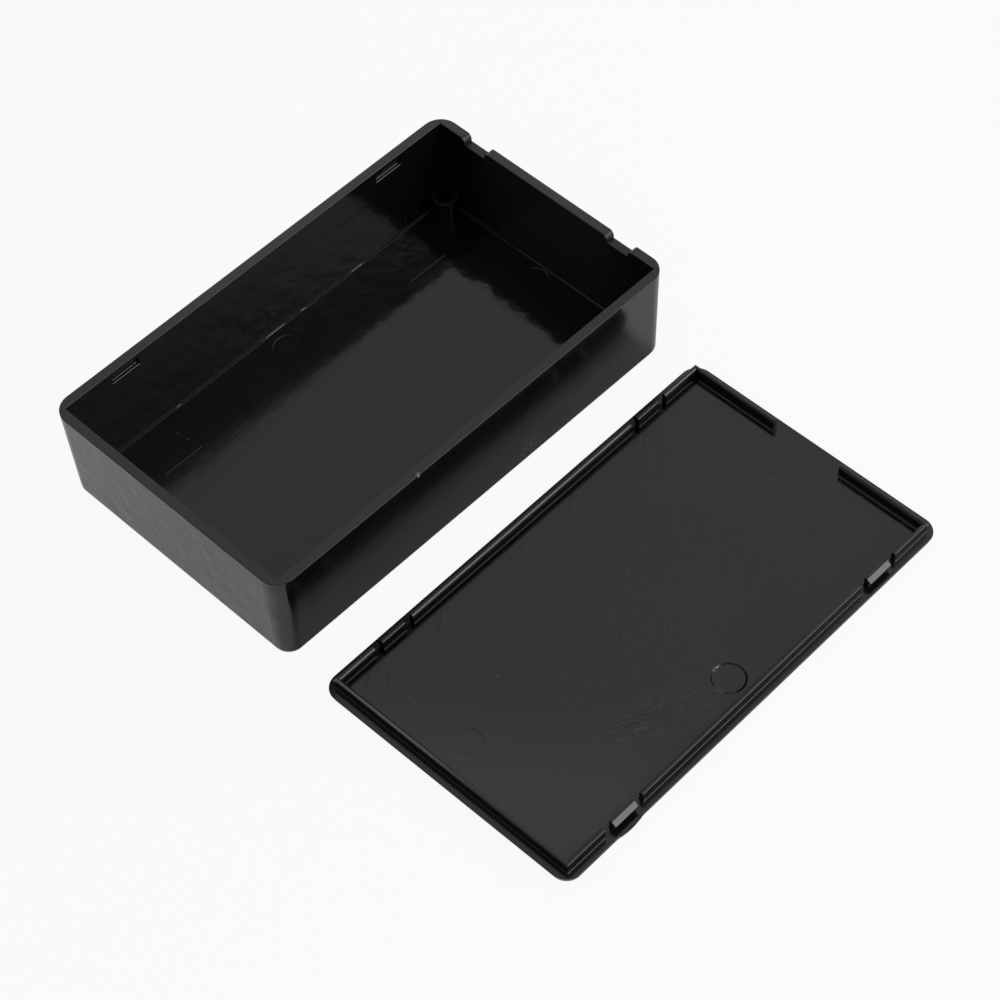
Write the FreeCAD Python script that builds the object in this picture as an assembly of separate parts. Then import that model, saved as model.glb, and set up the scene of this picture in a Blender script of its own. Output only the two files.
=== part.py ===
import FreeCAD, Part
import math
import os

# A small two-piece project box: an open moulded shell, and the press-fit lid that has been taken off it.
# Sizes are in millimetres. The origin is the centre of the shell's underside, with +Z up.
# +X runs along the shell towards its notched end. The lid lies beside the shell on the -Y side,
# turned over, so that the rib and snap tabs inside it point up.

Vector = FreeCAD.Vector
up = Vector(0, 0, 1)

# Shell: outside sizes are those at the rim, where the drafted walls are widest
shell_length = 100.0
shell_width = 60.0
shell_height = 23.0
shell_corner_radius = 4.0
shell_draft = 1.9
shell_foot_radius = 2.0
shell_rim_radius = 0.1

# Shell: the cavity has square vertical corners, as the mould's core left them
rim_wall = 1.95
floor_thickness = 2.0
cavity_draft = 0.5
cavity_foot_radius = 0.4
mouth_radius = 0.15

# Two prying notches in the rim of the +X end, with floors that fall towards the outside
notch_width = 5.2
notch_spacing = 37.55
notch_depth = 1.6
notch_fall = 6.0
notch_lip_radius = 1.25

# Screw bosses for a circuit board, one in each corner, run into both walls
boss_radius = 2.65
boss_height = 4.2
boss_hole_radius = 1.2
boss_hole_depth = 3.6
boss_sink = 0.15

# A small dent in the rim of the long wall that faces the lid
nick_radius = 0.8
nick_place = 15.4
nick_depth = 0.3

# Lid plate: its outside face is smaller than the face that meets the rim
lid_thickness = 2.0
lid_gap_ends = 0.1
lid_gap_sides = 0.3
lid_corner_radius = 3.5
lid_edge_slope = 19.0
lid_edge_radius = 1.0
lid_land_radius = 0.15

# Rib that stands inside the shell's mouth, left out in the middle of the +X end
rib_clearance = 0.08
rib_thickness = 0.95
rib_height = 2.3
rib_outer_radius = 0.2
rib_inner_radius = 0.6
rib_foot_radius = 0.4
rib_gap_length = 15.6

# Snap tabs: two on each long side, each between two slits, with a hook on the outer face
tab_width = 5.7
tab_spacing = 67.6
tab_crest_radius = 0.25
slit_width = 1.9
hook_reach = 0.6
hook_height = 1.2
hook_tip = 0.3
hook_lead = 0.7
hook_lead_inset = 0.27

# Grooves in the long walls that the hooks snap into
groove_end_clearance = 0.45
groove_depth_clearance = 0.15
groove_lip_clearance = 0.1
groove_floor_clearance = 0.6
groove_corner_radius = 0.2
groove_lip_radius = 0.25

# Trimmed stub of the moulding gate on one edge of the lid
stub_width = 6.0
stub_reach = 0.35
stub_height = 1.4

# Where the lid lies
lid_place_x = 0.15
lid_apart = 7.4
lid_turn = 0.6

# How far a cutting body runs past the face that it cuts, and how close counts as the same place
overrun = 1.0
near = 0.001


def rounded_outline(length, width, radius, z):
    """Closed outline of a rectangle with round corners, centred on the Z axis."""
    arcs = []
    for sign_x, sign_y, start in [(1, 1, 0), (-1, 1, 90), (-1, -1, 180), (1, -1, 270)]:
        centre = Vector(sign_x * (length / 2 - radius), sign_y * (width / 2 - radius), z)
        arcs.append(Part.makeCircle(radius, centre, up, start, start + 90))
    edges = []
    for arc, following in zip(arcs, arcs[1:] + arcs[:1]):
        end = arc.valueAt(arc.LastParameter)
        edges.append(arc)
        edges.append(Part.makeLine(end, following.valueAt(following.FirstParameter)))
    return Part.Wire(edges)


def square_outline(length, width, z):
    """Closed outline of a rectangle with square corners, centred on the Z axis."""
    corners = [(1, 1), (-1, 1), (-1, -1), (1, -1), (1, 1)]
    points = [Vector(sign_x * length / 2, sign_y * width / 2, z) for sign_x, sign_y in corners]
    return Part.makePolygon(points)


def edges_at(shape, z):
    """The edges of a shape that lie wholly at one height."""
    return [edge for edge in shape.Edges if edge.BoundBox.ZMin > z - near and edge.BoundBox.ZMax < z + near]


def edges_within(shape, z, length, width):
    """The edges at one height that lie on or inside a rectangle about the Z axis."""
    half_length = length / 2 + near
    half_width = width / 2 + near
    zone = FreeCAD.BoundBox(-half_length, -half_width, z - near, half_length, half_width, z + near)
    return [edge for edge in edges_at(shape, z) if zone.isInside(edge.BoundBox)]


def side_outline(x, steps):
    """Closed outline in the plane of one X. A step is a point (y, z), or a pair of them for an arc."""
    here = Vector(x, *steps[0])
    edges = []
    for step in steps[1:] + steps[:1]:
        if isinstance(step[0], tuple):
            end = Vector(x, *step[1])
            edges.append(Part.Arc(here, Vector(x, *step[0]), end).toShape())
        else:
            end = Vector(x, *step)
            edges.append(Part.makeLine(here, end))
        here = end
    return Part.Wire(edges)


def quarter(centre, radius, sign_y, sign_z, end):
    """Step for a quarter arc about a centre, bulging towards the given signs."""
    slant = radius * math.sin(math.radians(45))
    return (centre[0] + sign_y * slant, centre[1] + sign_z * slant), end


def prism(outline, direction):
    """Solid made by moving a flat closed outline along a direction."""
    return Part.Face(outline).extrude(direction)


def drafted_block(length, width, radius, height, draft):
    """Round-cornered block that is full size at its top and narrows towards its bottom."""
    inset = height * math.tan(math.radians(draft))
    low = rounded_outline(length - 2 * inset, width - 2 * inset, radius - inset, 0)
    high = rounded_outline(length, width, radius, height)
    return Part.makeLoft([low, high], True, True)


mouth_length = shell_length - 2 * rim_wall
mouth_width = shell_width - 2 * rim_wall
lid_length = shell_length - 2 * lid_gap_ends
lid_width = shell_width - 2 * lid_gap_sides
rib_length = mouth_length - 2 * rib_clearance
rib_width = mouth_width - 2 * rib_clearance
tab_centres = [-tab_spacing / 2, tab_spacing / 2]
hook_catch = rib_height - hook_height


def cavity():
    """The hollow of the shell, widening by its draft up to the mouth and a little past it."""
    growth = math.tan(math.radians(cavity_draft))
    low_inset = (shell_height - floor_thickness) * growth
    high_outset = overrun * growth
    low_x = mouth_length / 2 - low_inset
    low_y = mouth_width / 2 - low_inset
    high_x = mouth_length / 2 + high_outset
    high_y = mouth_width / 2 + high_outset
    top_z = shell_height + overrun
    low_z = floor_thickness
    hollow = Part.makeWedge(-low_x, low_z, -low_y, -high_y, -high_x, low_x, top_z, low_y, high_y, high_x)
    hollow.rotate(Vector(0, 0, 0), Vector(1, 0, 0), 90)
    return hollow.makeFillet(cavity_foot_radius, edges_at(hollow, floor_thickness))


def notch(centre_y):
    """One notch through the +X wall: rounded lips, upright flanks and a floor that falls outwards."""
    half = notch_width / 2
    wide = half + notch_lip_radius
    inner_x = mouth_length / 2
    start_x = inner_x - overrun
    outer_x = shell_length / 2 + overrun
    floor_z = shell_height - notch_depth
    lip_z = shell_height - notch_lip_radius
    top_z = shell_height + overrun
    low = centre_y - half
    high = centre_y + half
    steps = [
        (centre_y - wide, top_z),
        (centre_y - wide, shell_height),
        quarter((centre_y - wide, lip_z), notch_lip_radius, 1, 1, (low, lip_z)),
        (low, floor_z),
        (high, floor_z),
        (high, lip_z),
        quarter((centre_y + wide, lip_z), notch_lip_radius, -1, 1, (centre_y + wide, shell_height)),
        (centre_y + wide, top_z),
    ]
    opening = prism(side_outline(start_x, steps), Vector(outer_x - start_x, 0, 0))

    fall = (outer_x - inner_x) * math.tan(math.radians(notch_fall))
    wedge_points = [
        Vector(inner_x, low, floor_z),
        Vector(outer_x, low, floor_z - fall),
        Vector(outer_x, low, floor_z + overrun),
        Vector(inner_x, low, floor_z + overrun),
    ]
    wedge = prism(Part.makePolygon(wedge_points + wedge_points[:1]), Vector(0, notch_width, 0))
    return opening.fuse(wedge)


def groove(centre_x, side):
    """One snap groove in a long wall, sized from the hook that it takes, with a rounded lower lip."""
    width = tab_width + 2 * groove_end_clearance
    top_z = shell_height - hook_catch + groove_lip_clearance
    ledge_z = shell_height - rib_height - groove_floor_clearance
    foot_z = ledge_z - groove_lip_radius
    back_y = rib_width / 2 + hook_reach + groove_depth_clearance
    wall_y = mouth_width / 2 - (shell_height - foot_z) * math.tan(math.radians(cavity_draft))
    start_y = mouth_width / 2 - overrun
    corner_y = back_y - groove_corner_radius
    corner_z = ledge_z + groove_corner_radius
    lip_y = wall_y + groove_lip_radius
    steps = [
        (side * start_y, top_z),
        (side * back_y, top_z),
        (side * back_y, corner_z),
        quarter((side * corner_y, corner_z), groove_corner_radius, side, -1, (side * corner_y, ledge_z)),
        (side * lip_y, ledge_z),
        quarter((side * lip_y, foot_z), groove_lip_radius, -side, 1, (side * wall_y, foot_z)),
        (side * start_y, foot_z),
    ]
    return prism(side_outline(centre_x - width / 2, steps), Vector(width, 0, 0))


def corner_boss(sign_x, sign_y):
    """A round post and its pilot hole, tucked into one corner of the cavity."""
    narrowing = (shell_height - floor_thickness) * math.tan(math.radians(cavity_draft))
    inset = narrowing + boss_radius - boss_sink
    place_x = sign_x * (mouth_length / 2 - inset)
    place_y = sign_y * (mouth_width / 2 - inset)
    foot_z = floor_thickness / 2
    top_z = floor_thickness + boss_height
    post = Part.makeCylinder(boss_radius, top_z - foot_z, Vector(place_x, place_y, foot_z), up)
    hole_start = Vector(place_x, place_y, top_z - boss_hole_depth)
    hole = Part.makeCylinder(boss_hole_radius, boss_hole_depth + overrun, hole_start, up)
    return post, hole


def build_shell():
    """The open shell: one moulding with its floor, drafted walls, bosses, grooves and notches."""
    body = drafted_block(shell_length, shell_width, shell_corner_radius, shell_height, shell_draft)
    body = body.makeFillet(shell_foot_radius, edges_at(body, 0))
    body = body.makeFillet(shell_rim_radius, edges_at(body, shell_height))
    body = body.cut(cavity())
    body = body.makeFillet(mouth_radius, edges_within(body, shell_height, mouth_length, mouth_width))
    bosses = [corner_boss(sign_x, sign_y) for sign_x in (-1, 1) for sign_y in (-1, 1)]
    body = body.fuse([post for post, hole in bosses])
    body = body.cut([hole for post, hole in bosses])
    body = body.cut([groove(centre_x, side) for centre_x in tab_centres for side in (-1, 1)])
    body = body.cut([notch(sign * notch_spacing / 2) for sign in (-1, 1)])
    nick_centre = Vector(-nick_place, -shell_width / 2 - nick_radius + nick_depth, shell_height)
    body = body.cut(Part.makeSphere(nick_radius, nick_centre))
    return body.removeSplitter()


def plate_with_rib():
    """The lid's plate and its unbroken rib, whose outer foot is as round as the edge that it meets."""
    crest_z = lid_thickness + rib_height
    plate = drafted_block(lid_length, lid_width, lid_corner_radius, lid_thickness, lid_edge_slope)
    plate = plate.makeFillet(lid_edge_radius, edges_at(plate, 0))
    plate = plate.makeFillet(lid_land_radius, edges_at(plate, lid_thickness))
    root_z = lid_thickness / 2
    block = prism(square_outline(rib_length, rib_width, root_z), up * (crest_z - root_z))
    body = plate.fuse(block).removeSplitter()
    body = body.makeFillet(mouth_radius, edges_within(body, lid_thickness, rib_length, rib_width))
    body = body.makeFillet(rib_outer_radius, edges_at(body, crest_z))

    inner_length = rib_length - 2 * rib_thickness
    inner_width = rib_width - 2 * rib_thickness
    pocket_outline = square_outline(inner_length, inner_width, lid_thickness)
    pocket = prism(pocket_outline, up * (rib_height + overrun))
    pocket = pocket.makeFillet(rib_foot_radius, edges_at(pocket, lid_thickness))
    body = body.cut(pocket)
    return body.makeFillet(rib_inner_radius, edges_within(body, crest_z, inner_length, inner_width))


def rib_openings():
    """What is cut from the rib: the space for each tab and its two slits, and the gap at the +X end."""
    height = rib_height + overrun
    depth = rib_thickness + 2 * overrun
    span = tab_width + 2 * slit_width
    start_y = (rib_width - rib_thickness - depth) / 2
    gap_x = rib_length / 2 - rib_thickness - overrun
    cuts = [Part.makeBox(depth, rib_gap_length, height, Vector(gap_x, -rib_gap_length / 2, lid_thickness))]
    for side in (-1, 1):
        low_y = min(side * start_y, side * (start_y + depth))
        for centre_x in tab_centres:
            cuts.append(Part.makeBox(span, depth, height, Vector(centre_x - span / 2, low_y, lid_thickness)))
    return cuts


def snap_tab(centre_x, side):
    """A tab that springs in as the lid is pressed on: an upright blade with a hook on its outer face."""
    outer_y = rib_width / 2
    inner_y = outer_y - rib_thickness
    reach_y = outer_y + hook_reach
    foot_z = lid_thickness
    tip_z = foot_z + rib_height
    catch_z = foot_z + hook_catch
    flare_y = inner_y - rib_foot_radius
    flare_z = foot_z + rib_foot_radius
    crest_y = inner_y + tab_crest_radius
    crest_z = tip_z - tab_crest_radius
    steps = [
        (side * outer_y, foot_z),
        (side * outer_y, catch_z),
        (side * reach_y, catch_z + hook_tip),
        (side * reach_y, tip_z - hook_lead),
        (side * (outer_y - hook_lead_inset), tip_z),
        (side * crest_y, tip_z),
        quarter((side * crest_y, crest_z), tab_crest_radius, -side, 1, (side * inner_y, crest_z)),
        (side * inner_y, flare_z),
        quarter((side * flare_y, flare_z), rib_foot_radius, side, -1, (side * flare_y, foot_z)),
    ]
    return prism(side_outline(centre_x - tab_width / 2, steps), Vector(tab_width, 0, 0))


def gate_stub():
    """The low round swelling that trimming left on the lid's -Y edge, beside a tab."""
    radius = (stub_width ** 2 / 4 + stub_reach ** 2) / (2 * stub_reach)
    low_radius = radius - stub_height * math.tan(math.radians(lid_edge_slope))
    low_y = -lid_width / 2 - stub_reach
    low_z = lid_thickness - stub_height
    disc = Part.makeCone(low_radius, radius, stub_height, Vector(tab_centres[0], low_y + radius, low_z), up)
    corner = Vector(tab_centres[0] - stub_width / 2, low_y, low_z)
    return disc.common(Part.makeBox(stub_width, stub_reach + overrun, stub_height, corner))


def build_lid():
    """The lid about its own centre, inner side up: plate, rib, four snap tabs and the gate stub."""
    body = plate_with_rib().cut(rib_openings())
    tabs = [snap_tab(centre_x, side) for centre_x in tab_centres for side in (-1, 1)]
    return body.fuse(tabs + [gate_stub()]).removeSplitter()


def place_lid(body):
    """Turns the lid a little and sets it down beside the shell."""
    placed = body.copy()
    placed.rotate(Vector(0, 0, 0), up, lid_turn)
    placed.translate(Vector(lid_place_x, -shell_width - lid_apart, 0))
    return placed


def main():
    os.makedirs("parts", exist_ok=True)
    pieces = {"box_shell": build_shell(), "snap_lid": place_lid(build_lid())}
    for name, shape in pieces.items():
        bounds = shape.optimalBoundingBox()
        print(name, "solids", len(shape.Solids), "valid", shape.isValid(), "volume", round(shape.Volume, 1))
        print("  x", round(bounds.XMin, 2), round(bounds.XMax, 2))
        print("  y", round(bounds.YMin, 2), round(bounds.YMax, 2))
        print("  z", round(bounds.ZMin, 2), round(bounds.ZMax, 2))
        shape.exportStep("parts/" + name + ".step")


main()
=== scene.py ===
import math

import bpy
from mathutils import Matrix, Vector

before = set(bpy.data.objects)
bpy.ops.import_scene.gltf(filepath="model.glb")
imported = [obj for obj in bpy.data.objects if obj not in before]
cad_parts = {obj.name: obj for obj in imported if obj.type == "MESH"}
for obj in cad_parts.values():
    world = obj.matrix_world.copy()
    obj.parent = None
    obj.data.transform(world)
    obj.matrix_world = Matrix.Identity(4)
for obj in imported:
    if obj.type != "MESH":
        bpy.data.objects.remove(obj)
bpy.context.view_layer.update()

print("frame loaded:", sorted(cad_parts))


# Shader maths as plain expressions: a Val wraps one number socket of a node tree
class Val:
    def __init__(self, tree, socket):
        self.tree = tree
        self.socket = socket

    def math(self, operation, *others):
        made = self.tree.node("ShaderNodeMath", {"operation": operation}, {})
        for slot, value in zip(made.inputs, (self,) + others):
            self.tree.feed(slot, value)
        return Val(self.tree, made.outputs[0])

    def __add__(self, other):
        return self.math("ADD", other)

    def __radd__(self, other):
        return self.math("ADD", other)

    def __sub__(self, other):
        return self.math("SUBTRACT", other)

    def __rsub__(self, other):
        return (self * -1).math("ADD", other)

    def __mul__(self, other):
        return self.math("MULTIPLY", other)

    def __rmul__(self, other):
        return self.math("MULTIPLY", other)

    def __truediv__(self, other):
        return self.math("DIVIDE", other)

    def __pow__(self, other):
        return self.math("POWER", other)


# A node tree with one method that adds any node: settings first, then its inputs
class Tree:
    def __init__(self, tree):
        self.tree = tree
        tree.nodes.clear()

    def feed(self, slot, value):
        if isinstance(value, Val):
            self.tree.links.new(value.socket, slot)
        elif isinstance(value, bpy.types.NodeSocket):
            self.tree.links.new(value, slot)
        else:
            slot.default_value = value

    def node(self, kind, settings, values):
        made = self.tree.nodes.new(kind)
        for name, value in settings.items():
            setattr(made, name, value)
        for name, value in values.items():
            self.feed(made.inputs[name], value)
        return made

    def val(self, socket):
        return Val(self, socket)

    # Coordinates about a centre, turned, then counted in lengths along and across
    def stretch(self, vector, centre, turn, sizes):
        made = self.node("ShaderNodeMapping", {"vector_type": "TEXTURE"},
                         {"Vector": vector, "Location": centre,
                          "Rotation": (0, 0, math.radians(turn)), "Scale": sizes})
        return made.outputs["Vector"]

    # Object coordinates in millimetres, moved and turned into a piece's own axes
    def place(self, centre, turn):
        texture = self.node("ShaderNodeTexCoord", {}, {})
        return self.stretch(texture.outputs["Object"], [c / 1000 for c in centre], turn,
                            (0.001, 0.001, 0.001))

    def axes(self, vector):
        split = self.node("ShaderNodeSeparateXYZ", {}, {"Vector": vector})
        return [self.val(split.outputs[i]) for i in range(3)]

    def noise(self, vector, scale, detail, roughness):
        made = self.node("ShaderNodeTexNoise", {}, {"Vector": vector, "Scale": scale,
                                                    "Detail": detail, "Roughness": roughness})
        return self.val(made.outputs["Fac"])

    # 0 below low, 1 above high, smooth between
    def ramp(self, value, low, high):
        made = self.node("ShaderNodeMapRange", {"interpolation_type": "SMOOTHSTEP", "clamp": True},
                         {"Value": value, "From Min": low, "From Max": high,
                          "To Min": 0.0, "To Max": 1.0})
        return self.val(made.outputs["Result"])

    # 0 up to a limit, then 1, with a soft step of a given width
    def past(self, value, limit, soft):
        return self.ramp(value, limit, limit + soft)

    # 1 up to a limit, then 0
    def upTo(self, value, limit, soft):
        return 1 - self.past(value, limit, soft)

    # 1 inside a band from low to high, with soft ends of a given width
    def band(self, value, low, high, soft):
        return self.ramp(value, low - soft, low) * self.upTo(value, high, soft)

    # bell-shaped line of a given half width where value is 0
    def line(self, value, width):
        return ((value / width) ** 2 * -1).math("EXPONENT")

    # distance from a place, over two axes or three
    def away(self, axes, centre):
        return sum((axis - at) ** 2 for axis, at in zip(axes, centre)).math("SQRT")

    # 1 in the middle of an oval, fading to 0 at its edge
    def oval(self, vector, fade):
        return 1 - self.ramp(self.away(self.axes(vector)[:2], (0, 0)), *fade)

    def mixTone(self, factor, low, high, clamp):
        made = self.node("ShaderNodeMix", {"data_type": "RGBA", "clamp_factor": clamp}, {})
        for slot, value in ((made.inputs["Factor"], factor), (made.inputs[6], low),
                            (made.inputs[7], high)):
            self.feed(slot, value)
        return made.outputs[2]


# Camera: place and aim in metres, roll in degrees
cameraLook = {
    "place": (-0.21869, -0.27053, 0.43078),
    "aim": (0.002025, -0.031675, 0.0),
    "roll": -3.826,
    "lens": 105.1,
    "sensor": 36,
    "clipStart": 0.01,
}


def makeCamera(look):
    camera = bpy.data.cameras.new("camera")
    camera.sensor_width = look["sensor"]
    camera.lens = look["lens"]
    camera.clip_start = look["clipStart"]
    body = bpy.data.objects.new("camera", camera)
    bpy.context.scene.collection.objects.link(body)
    away = Vector(look["place"]) - Vector(look["aim"])
    turn = away.to_track_quat("Z", "Y").to_matrix() @ Matrix.Rotation(math.radians(look["roll"]), 3, "Z")
    body.matrix_world = Matrix.Translation(look["place"]) @ turn.to_4x4()
    bpy.context.scene.camera = body
    print("camera at", look["place"])


# Black moulded plastic: what both mouldings share
blackPlastic = {
    "tone": (0.0032, 0.0032, 0.0033, 1),
    "tonePale": (0.0056, 0.0056, 0.0057, 1),
    "toneWearAndPaintedLight": (0.016, 0.016, 0.0162, 1),
    "cloudShare": 0.6,
    "fineShare": 0.4,
}


# Base colour: a faint cloudiness, and paler where the plastic is worn and where highlights and sheen are
# painted, past the worn tone where that mask is over 1
def plasticTone(tree, cloud, fine, wearAndPaintedLight):
    mottled = cloud * blackPlastic["cloudShare"] + fine * blackPlastic["fineShare"]
    plain = tree.mixTone(mottled, blackPlastic["tone"], blackPlastic["tonePale"], True)
    return tree.mixTone(wearAndPaintedLight, plain, blackPlastic["toneWearAndPaintedLight"], False)


# Heights are in millimetres. Dull goes to Metallic: with a colour this near to black,
# that only takes the gloss away
def finishPlastic(tree, tone, roughness, height, ior, dull):
    bump = tree.node("ShaderNodeBump", {}, {"Strength": 1.0, "Distance": 0.001, "Height": height})
    shader = tree.node("ShaderNodeBsdfPrincipled", {},
                       {"Base Color": tone, "Roughness": roughness, "Metallic": dull,
                        "IOR": ior, "Normal": bump.outputs["Normal"]})
    tree.node("ShaderNodeOutputMaterial", {}, {"Surface": shader.outputs["BSDF"]})


# The discs that ejector pins pressed: each sunk by its depth, with a soft step about it
def pinMarks(tree, x, y, look):
    return sum((tree.ramp(tree.away((x, y), (mark["x"], mark["y"])), mark["radius"] - look["pinStep"],
                          mark["radius"] + look["pinStep"]) - 1) * mark["depth"]
               for mark in look["pinMarks"])


# Small round specks at given places
def specks(tree, x, y, look):
    return sum(1 - tree.ramp(tree.away((x, y), speck), look["speckSize"] * look["speckCore"],
                             look["speckSize"]) for speck in look["specks"])


# Shell: a satin outside, a scuffed rim, and a polished inside with the marks that its mould left.
# Lengths are in millimetres, and each noise is its scale, detail and roughness
shellFinish = {
    "ior": 1.46,
    "halfLength": 48.0,
    "halfWidth": 28.0,
    "edgeSoft": 0.25,
    "wornRim": (22.84, 22.98),
    "outsideRoughness": 0.11,
    "insideRoughness": 0.1,
    "rimRoughness": 0.24,
    "cloud": (0.12, 3.0, 0.55),
    "cloudGloss": 0.08,
    "fine": (1.6, 4.0, 0.6),
    "fineGloss": 0.03,
    "grain": (1 / 0.3, 2.0, 0.6),
    "grainHeight": 0.003,
    "ripple": (1 / 4.5, 2.0, 0.5),
    "rippleHeight": 0.03,
    "floorTop": 2.3,
    "floorSoft": 0.3,
    "floorRipple": 0.075,
    "wallRipple": 0.35,
    "pinMarks": [
        {"x": 0.0, "y": 22.9, "radius": 3.05, "depth": 0.13},
        {"x": 0.0, "y": -22.9, "radius": 3.05, "depth": 0.13},
        {"x": 44.3, "y": 0.0, "radius": 2.8, "depth": 0.065},
        {"x": -44.3, "y": 0.0, "radius": 2.8, "depth": 0.065},
    ],
    "pinStep": 0.15,
    "specks": [(-28.4, 20.8), (-28.8, 23.3), (-21.6, 14.2)],
    "speckSize": 0.4,
    "speckCore": 0.3,
    "speckHeight": 0.09,
    "scuffPlace": (12.6, -29.5, 4.5),
    "scuffSize": 4.5,
    "scuffBreak": (0.5, 0.65),
    "scuffWear": 7.0,
    "endWall": -49.1,
    "endSoft": 0.3,
    "endRipple": 0.1,
    "mottle": (1 / 3.2, 5.0, 0.65),
    "mottleBreak": (0.25, 0.75),
    "mottleWear": 3.0,
    "innerEndPale": 1.3,
    "innerEndFade": (12.0, 24.0),
    "bossX": 45.37,
    "bossY": 25.37,
    "bossTop": (6.05, 6.3),
    "bossTopSoft": 0.1,
    "bossRing": 2.2,
    "bossLine": 0.35,
    "bossLitFade": (-3.4, 3.4),
    "bossLeast": 0.2,
    "bossHighlight": 1.3,
    "notchSpan": (14.5, 23.0),
    "notchFoot": 21.0,
    "notchSoft": 0.3,
    "notchRoughness": 0.3,
    "lifterInner": 27.6,
    "lifterOuter": 36.8,
    "lifterEdge": 17.4,
    "lifterSoft": 0.05,
    "lifterLine": 0.1,
    "lifterHeight": 0.055,
    "lifterSide": 0.25,
    "flashSpan": (32.0, 36.7),
    "flashSoft": 0.4,
    "flashTop": 22.05,
    "flashLine": 0.07,
    "flashHeight": 0.06,
    "footTop": 2.5,
    "footTopSoft": 0.1,
    "footLength": 47.3,
    "footWidth": 27.4,
    "footSoft": 0.2,
    "footPatches": (0.3, 2.0, 0.5),
    "footPatchBreak": (0.27, 0.4),
    "footDim": (-26.0, -32.0),
    "footClear": [(0.9, 2.0), (22.9, 1.2)],
    "footClearSoft": 0.8,
    "footClean": (-20.0, 6.0),
    "footCleanSoft": 2.0,
    "footRoughness": 0.75,
    "footNoise": (0.8, 3.0, 0.6),
    "footBreak": 0.1,
    "farFade": (48.0, -48.0),
    "farRoughness": 0.1,
    "rimLeast": 0.3,
    "rimFine": 0.5,
    "rimLean": 1.5,
    "rimFade": (0.0, 45.0),
    "rimFarPale": 1.0,
    "nickPlace": (-15.4, -29.9, 22.9),
    "nickSize": 0.65,
    "nickHighlight": 20.0,
}


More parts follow.
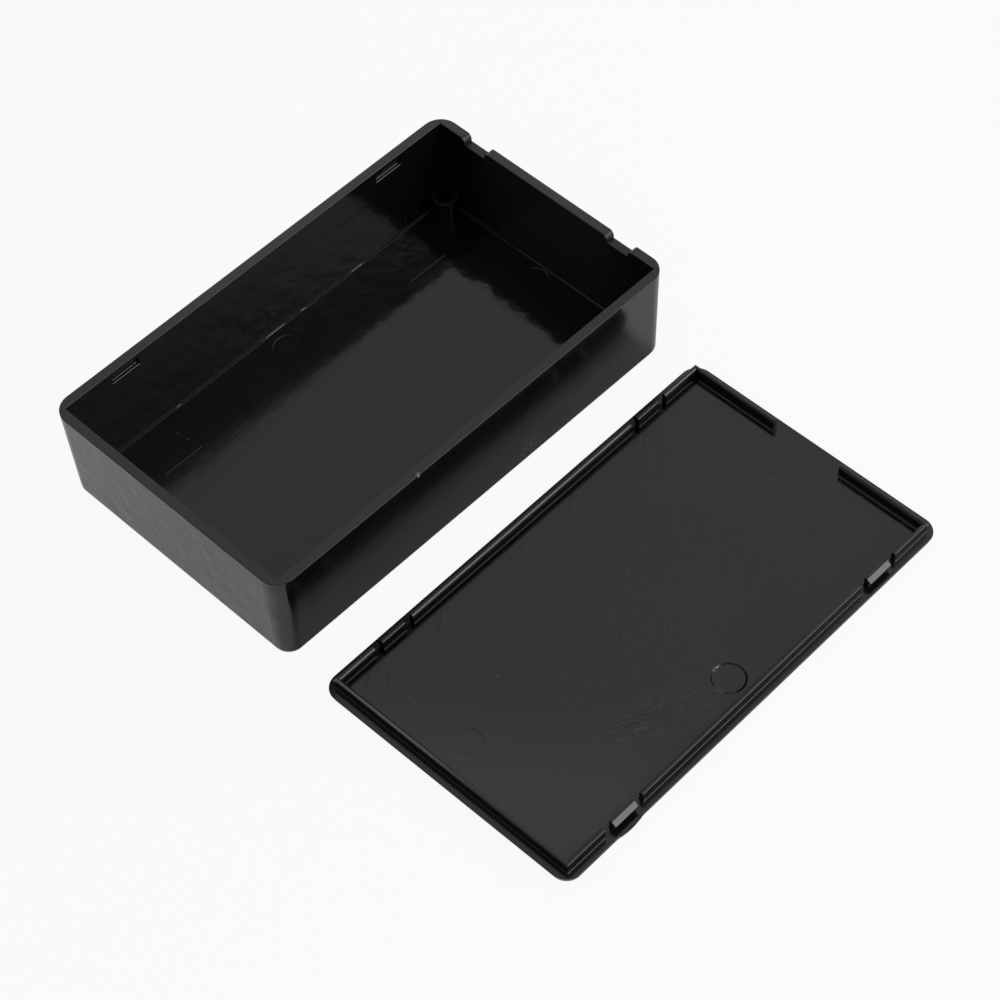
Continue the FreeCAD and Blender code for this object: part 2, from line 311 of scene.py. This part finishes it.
def shellMaterial(look):
    material = bpy.data.materials.new("shellPlastic")
    material.use_nodes = True
    tree = Tree(material.node_tree)
    place = tree.place((0, 0, 0), 0)
    x, y, z = tree.axes(place)
    absX = x.math("ABSOLUTE")
    absY = y.math("ABSOLUTE")
    inside = tree.upTo(absX, look["halfLength"], look["edgeSoft"]) \
        * tree.upTo(absY, look["halfWidth"], look["edgeSoft"])
    rim = tree.ramp(z, *look["wornRim"])
    outside = (1 - inside) * (1 - rim)
    floor = tree.upTo(z, look["floorTop"], look["floorSoft"]) * inside
    walls = inside - floor
    atEnd = tree.upTo(x, look["endWall"], look["endSoft"]) * (1 - rim)
    cloud = tree.noise(place, *look["cloud"])
    fine = tree.noise(place, *look["fine"])

    # a fine grain outside, over slow ripples that mottle what the walls and the floor mirror
    height = tree.noise(place, *look["grain"]) * look["grainHeight"] * (1 - inside)
    calm = floor + walls * look["wallRipple"]
    height = height + tree.noise(place, *look["ripple"]) * (
        outside * look["rippleHeight"] + calm * look["floorRipple"] + atEnd * look["endRipple"])
    height = height + pinMarks(tree, x, y, look) * floor
    height = height + specks(tree, x, y, look) * floor * look["speckHeight"]

    # sliding mould parts that made the snap grooves: fine raised lines on the floor and up the wall
    edge = tree.line(absY - look["lifterEdge"], look["lifterLine"]) \
        * tree.band(absX, look["lifterInner"], look["lifterOuter"], look["lifterSoft"])
    side = tree.line(absX - look["lifterOuter"], look["lifterLine"]) \
        * tree.past(absY, look["lifterEdge"], look["lifterLine"]) * look["lifterSide"]
    height = height + (edge * floor + side * inside) * look["lifterHeight"]

    # thread of flash along the top of each snap groove
    flash = tree.line(z - look["flashTop"], look["flashLine"]) * inside \
        * tree.band(absX, *look["flashSpan"], look["flashSoft"])
    height = height + flash * look["flashHeight"]

    roughness = inside * look["insideRoughness"] + outside * look["outsideRoughness"]
    roughness = roughness * (1 - rim) + rim * look["rimRoughness"]
    roughness = roughness + (cloud - 0.5) * look["cloudGloss"] + (fine - 0.5) * look["fineGloss"]

    # the foot of the walls is uneven in patches, but clean at a few places
    ends = tree.past(absX, look["footLength"], look["footSoft"])
    sides = tree.past(absY, look["footWidth"], look["footSoft"])
    foot = tree.upTo(z, look["footTop"], look["footTopSoft"]) * inside * ends.math("MAXIMUM", sides)
    patches = tree.ramp(tree.noise(place, *look["footPatches"]), *look["footPatchBreak"])
    uneven = foot * (patches + tree.ramp(x, *look["footDim"])).math("MINIMUM", 1.0)
    for clearX, clearHalf in look["footClear"]:
        uneven = uneven * tree.past((x - clearX).math("ABSOLUTE"), clearHalf, look["footClearSoft"])
    uneven = uneven * (1 - tree.past(x, look["footLength"], look["footSoft"])
                       * tree.band(y, *look["footClean"], look["footCleanSoft"]))
    roughness = roughness + uneven * look["footRoughness"]
    height = height + tree.noise(place, *look["footNoise"]) * uneven * look["footBreak"]

    # the polish fades towards the -X end
    roughness = roughness + tree.ramp(x, *look["farFade"]) * floor * look["farRoughness"]

    # the lips of the notches are dull
    lips = tree.band(absY, *look["notchSpan"], look["notchSoft"]) \
        * tree.ramp(x, look["halfLength"] - look["notchSoft"], look["halfLength"]) \
        * tree.past(z, look["notchFoot"], look["notchSoft"])
    roughness = roughness + lips * look["notchRoughness"]

    # the rim is scuffed pale in patches, paler still towards the +X and +Y sides, and has a painted
    # highlight in its nick
    paleTowardsFar = tree.ramp(x + y * look["rimLean"], *look["rimFade"]) * look["rimFarPale"]
    wearAndPaintedLight = rim * (look["rimLeast"] + fine * look["rimFine"] + paleTowardsFar)
    # painted highlight: a pale spot where the rim is nicked
    nick = tree.ramp(tree.away((x, y, z), look["nickPlace"]), 0.0, look["nickSize"])
    wearAndPaintedLight = wearAndPaintedLight + (1 - nick) * look["nickHighlight"]

    # a scuffed spot low on the wall that faces the lid, and a mottled haze over the -X end
    scuff = tree.ramp(tree.away((x, y, z), look["scuffPlace"]), 0.0, look["scuffSize"])
    wearAndPaintedLight = wearAndPaintedLight + (1 - scuff) * tree.ramp(fine, *look["scuffBreak"]) * look["scuffWear"]
    mottle = tree.ramp(tree.noise(place, *look["mottle"]), *look["mottleBreak"])
    wearAndPaintedLight = wearAndPaintedLight + mottle * atEnd * look["mottleWear"]

    # the inner end walls are paler in their middle, fading towards the corners, and the top edge of each
    # boss has a painted highlight, strongest on its side towards the middle of the box
    endMiddle = 1 - tree.ramp(absY, *look["innerEndFade"])
    wearAndPaintedLight = wearAndPaintedLight + ends * walls * endMiddle * look["innerEndPale"]
    # painted highlight: a pale ring round the top of each boss, stronger on its side towards the middle
    # of the box
    across = absX - look["bossX"]
    along = absY - look["bossY"]
    ring = tree.line(tree.away((across, along), (0, 0)) - look["bossRing"], look["bossLine"]) \
        * tree.band(z, *look["bossTop"], look["bossTopSoft"])
    litSide = 1 + look["bossLeast"] - tree.ramp(across + along, *look["bossLitFade"])
    wearAndPaintedLight = wearAndPaintedLight + ring * inside * litSide * look["bossHighlight"]

    finishPlastic(tree, plasticTone(tree, cloud, fine, wearAndPaintedLight), roughness, height, look["ior"], 0.0)
    return material


# Lid: polished inside with flow marks and fine scratches, satin at its rib and edge.
# Lengths are in millimetres from its centre, along its own sides
lidFinish = {
    "ior": 1.5,
    "centre": (0.15, -67.4, 0.0),
    "turn": 0.6,
    "halfLength": 46.7,
    "halfWidth": 26.7,
    "edgeSoft": 0.2,
    "floorRoughness": 0.13,
    "edgeRoughness": 0.17,
    "cloud": (0.1, 3.0, 0.55),
    "cloudGloss": 0.08,
    "fine": (1.5, 4.0, 0.6),
    "fineGloss": 0.04,
    "grain": (3.0, 2.0, 0.6),
    "grainHeight": 0.003,
    "swell": (0.09, 2.0, 0.5),
    "swellHeight": 0.03,
    "pinMarks": [
        {"x": -0.3, "y": -22.3, "radius": 3.12, "depth": 0.4},
        {"x": -0.3, "y": 22.2, "radius": 3.3, "depth": 0.02},
        {"x": -41.0, "y": 2.6, "radius": 3.2, "depth": 0.09},
        {"x": 41.0, "y": 2.6, "radius": 3.2, "depth": 0.01},
    ],
    "pinStep": 0.27,
    "specks": [(4.7, 6.2), (15.2, -10.5), (30.8, 3.1), (-27.1, 8.2), (38.1, 0.8), (-41.0, 15.2)],
    "speckSize": 0.4,
    "speckCore": 0.3,
    "speckHeight": 0.04,
    "speckWear": 1.6,
    "flowPlace": (-15.0, -19.0, 0.0),
    "flowTurn": -24.0,
    "flowSpan": (18.0, 6.5, 1.0),
    "flowFade": (0.3, 1.0),
    "flowStreak": (6.0, 0.55, 1.0),
    "flowNoise": (1.0, 3.0, 0.6),
    "flowHeight": 0.28,
    "flowBreak": (0.5, 0.66),
    "flowWear": 1.28,
    "rubPlace": (-7.0, -8.0, 0.0),
    "rubSpan": (29.0, 19.0, 1.0),
    "rubFade": (0.2, 1.0),
    "rubStreak": (1.5, 0.6, 1.0),
    "rubNoise": (1.0, 2.0, 0.6),
    "rubBreak": (0.45, 0.75),
    "rubHeight": 0.075,
    "rubWear": 0.48,
    "scratches": [{"turn": 35, "sizes": (14.0, 0.4, 1.0)}, {"turn": -62, "sizes": (18.0, 0.45, 1.0)}],
    "scratchNoise": (1.0, 1.0, 0.5),
    "scratchBreak": (0.68, 0.74),
    "scratchHeight": 0.012,
    "footFade": (25.4, 26.1),
    "footTo": 27.7,
    "footTop": 2.9,
    "footSoft": 0.1,
    "footShade": 0.8,
    "sheenFade": (20.0, 44.0),
    "sheenTowards": (-0.83, -0.55),
    "sheenStrength": 1.2,
    "dustBreak": (0.62, 0.8),
    "dustWear": 0.12,
    "crestSpan": (-48.1, -47.6),
    "crestSoft": 0.08,
    "crestTop": (4.1, 4.2),
    "crestFade": (-10.0, 12.0),
    "crestHighlight": 6.5,
}


def lidMaterial(look):
    material = bpy.data.materials.new("lidPlastic")
    material.use_nodes = True
    tree = Tree(material.node_tree)
    place = tree.place(look["centre"], look["turn"])
    x, y, z = tree.axes(place)
    floorLength = tree.upTo(x.math("ABSOLUTE"), look["halfLength"], look["edgeSoft"])
    floor = floorLength * tree.upTo(y.math("ABSOLUTE"), look["halfWidth"], look["edgeSoft"])
    cloud = tree.noise(place, *look["cloud"])
    fine = tree.noise(place, *look["fine"])
    height = tree.noise(place, *look["swell"]) * look["swellHeight"] * floor
    height = height + tree.noise(place, *look["grain"]) * look["grainHeight"] * (1 - floor)
    height = height + pinMarks(tree, x, y, look) * floor
    spots = specks(tree, x, y, look)
    height = height + spots * floor * look["speckHeight"]

    # flow marks: long thin streaks in an oval patch beside the strong pin mark
    patch = tree.oval(tree.stretch(place, look["flowPlace"], look["flowTurn"], look["flowSpan"]),
                      look["flowFade"])
    streak = tree.noise(tree.stretch(place, look["flowPlace"], look["flowTurn"], look["flowStreak"]),
                        *look["flowNoise"])
    height = height + streak * patch * floor * look["flowHeight"]
    pale = tree.ramp(streak, *look["flowBreak"]) * patch * look["flowWear"]

    # a rubbed patch beside them
    patch = tree.oval(tree.stretch(place, look["rubPlace"], 0, look["rubSpan"]), look["rubFade"])
    rub = tree.noise(tree.stretch(place, look["rubPlace"], look["flowTurn"], look["rubStreak"]),
                     *look["rubNoise"])
    rub = tree.ramp(rub, *look["rubBreak"])
    height = height + rub * patch * floor * look["rubHeight"]
    pale = pale + rub * patch * look["rubWear"] + spots * look["speckWear"]

    # hair scratches along two directions
    for scratch in look["scratches"]:
        hair = tree.noise(tree.stretch(place, (0, 0, scratch["turn"]), scratch["turn"], scratch["sizes"]),
                          *look["scratchNoise"])
        height = height + tree.ramp(hair, *look["scratchBreak"]) * floor * look["scratchHeight"]

    roughness = floor * look["floorRoughness"] + (1 - floor) * look["edgeRoughness"]
    roughness = roughness + (cloud - 0.5) * look["cloudGloss"] + (fine - 0.5) * look["fineGloss"]

    # painted shade: the foot of the +Y rib loses its gloss, which darkens it like a contact shadow
    foot = tree.ramp(y, *look["footFade"]) * tree.upTo(y, look["footTo"], look["footSoft"]) \
        * tree.upTo(z, look["footTop"], look["footSoft"]) * floorLength

    # a faint painted sheen that grows towards one corner
    towardsX, towardsY = look["sheenTowards"]
    sheen = tree.ramp(x * towardsX + y * towardsY, *look["sheenFade"]) * look["sheenStrength"]
    wearAndPaintedLight = tree.ramp(fine, *look["dustBreak"]) * look["dustWear"] + (sheen + pale) * floor

    # a painted highlight along the outer edge of the -X rib, stronger towards its +Y end
    crest = tree.band(x, *look["crestSpan"], look["crestSoft"]) * tree.ramp(z, *look["crestTop"])
    wearAndPaintedLight = wearAndPaintedLight + crest * tree.ramp(y, *look["crestFade"]) * look["crestHighlight"]

    finishPlastic(tree, plasticTone(tree, cloud, fine, wearAndPaintedLight), roughness, height, look["ior"],
                  foot * look["footShade"])
    return material


def dress(node, material):
    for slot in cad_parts[node].material_slots:
        slot.material = material
    print("dressed", node)


# Floor and light: a white room that is dimmer on the -X side, and one soft box low in front.
# Glow is what the floor shows to the camera; beside the box's ends it also glows to the box's gloss
# alone, a painted reflection in its end walls
studio = {
    "floorSize": 6.0,
    "floorTone": (0.5, 0.5, 0.5, 1),
    "floorGlow": 0.93,
    "sideGlow": 0.5,
    "sideRise": 0.12,
    "sideFade": (-20.0, 50.0),
    "farGlow": 0.4,
    "sideFrom": 46.0,
    "sideTo": 50.0,
    "worldBright": 0.75,
    "worldDim": 0.3,
    "worldFade": (-0.28, 0.18),
    "boxPlace": (0.23, -0.455, 0.32),
    "boxAim": (0.0, -0.07, 0.0),
    "boxSize": 0.36,
    "boxPower": 1.6,
}


def makeFloor(look):
    half = look["floorSize"] / 2
    mesh = bpy.data.meshes.new("floor")
    mesh.from_pydata([(-half, -half, 0), (half, -half, 0), (half, half, 0), (-half, half, 0)],
                     [], [(0, 1, 2, 3)])
    floor = bpy.data.objects.new("floor", mesh)
    bpy.context.scene.collection.objects.link(floor)
    material = bpy.data.materials.new("paleFloor")
    material.use_nodes = True
    tree = Tree(material.node_tree)
    paths = tree.node("ShaderNodeLightPath", {}, {})
    x, y = tree.axes(tree.place((0, 0, 0), 0))[:2]
    # painted reflection: beside the box's ends the floor glows only to glossy rays, so the end walls
    # mirror light that no lamp gives
    nearGlow = tree.ramp(y, *look["sideFade"]) * look["sideRise"] + look["sideGlow"]
    side = tree.ramp(x, -look["sideFrom"], -look["sideTo"]) * nearGlow \
        + tree.ramp(x, look["sideFrom"], look["sideTo"]) * look["farGlow"]
    seen = tree.val(paths.outputs["Is Camera Ray"]) * look["floorGlow"] \
        + tree.val(paths.outputs["Is Glossy Ray"]) * side
    glow = tree.node("ShaderNodeEmission", {}, {"Color": (1, 1, 1, 1), "Strength": 1.0})
    plain = tree.node("ShaderNodeBsdfDiffuse", {}, {"Color": look["floorTone"]})
    mix = tree.node("ShaderNodeMixShader", {}, {"Fac": seen})
    tree.feed(mix.inputs[1], plain.outputs[0])
    tree.feed(mix.inputs[2], glow.outputs[0])
    tree.node("ShaderNodeOutputMaterial", {}, {"Surface": mix.outputs[0]})
    mesh.materials.append(material)
    print("floor laid")


def makeLight(look):
    world = bpy.data.worlds.new("studio")
    bpy.context.scene.world = world
    world.use_nodes = True
    tree = Tree(world.node_tree)
    texture = tree.node("ShaderNodeTexCoord", {}, {})
    towardsX = tree.axes(texture.outputs["Generated"])[0]
    paths = tree.node("ShaderNodeLightPath", {}, {})
    camera = tree.val(paths.outputs["Is Camera Ray"])
    level = tree.ramp(towardsX, *look["worldFade"]) * (look["worldBright"] - look["worldDim"]) \
        + look["worldDim"]
    background = tree.node("ShaderNodeBackground", {}, {"Color": (1, 1, 1, 1),
                                                        "Strength": camera + (1 - camera) * level})
    tree.node("ShaderNodeOutputWorld", {}, {"Surface": background.outputs[0]})

    lamp = bpy.data.lights.new("softBox", "AREA")
    lamp.shape = "SQUARE"
    lamp.size = look["boxSize"]
    lamp.energy = look["boxPower"]
    body = bpy.data.objects.new("softBox", lamp)
    body.location = look["boxPlace"]
    away = Vector(look["boxPlace"]) - Vector(look["boxAim"])
    body.rotation_euler = away.to_track_quat("Z", "Y").to_euler()
    bpy.context.scene.collection.objects.link(body)
    print("light set")


def writeSizes():
    print("scene built")


dress("box_shell", shellMaterial(shellFinish))
dress("snap_lid", lidMaterial(lidFinish))
makeFloor(studio)
makeLight(studio)
makeCamera(cameraLook)
bpy.context.scene.view_settings.view_transform = "Standard"
writeSizes()
